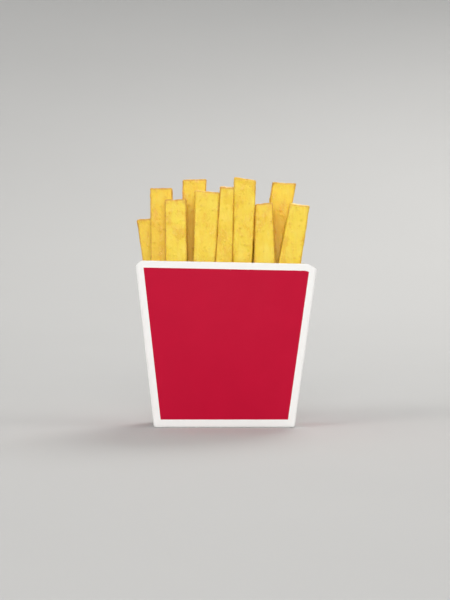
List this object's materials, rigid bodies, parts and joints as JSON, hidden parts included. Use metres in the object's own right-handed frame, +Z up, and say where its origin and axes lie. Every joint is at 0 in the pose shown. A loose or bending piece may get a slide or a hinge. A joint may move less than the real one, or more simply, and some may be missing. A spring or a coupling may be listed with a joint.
{
  "type": "french fries in a carton",
  "caption": "Bundle of thick-cut french fries standing in an open tapered paperboard carton that rests on its flat bottom.",
  "frame": {"origin": "middle of the carton's footprint, on the surface it stands on", "axes": "+Z up, +X to the right of the front panel, -Y out of the front panel"},
  "size_m": [0.0902, 0.0492, 0.1245],
  "materials": {
    "printed_board": "white folding board printed deep red, with an unprinted white border, satin coating",
    "fried_potato": "golden yellow fried potato, crisp and slightly oily"
  },
  "bodies": {
    "root": {"carton": "printed_board", "fries": "fried_potato"}
  },
  "joints": []
}
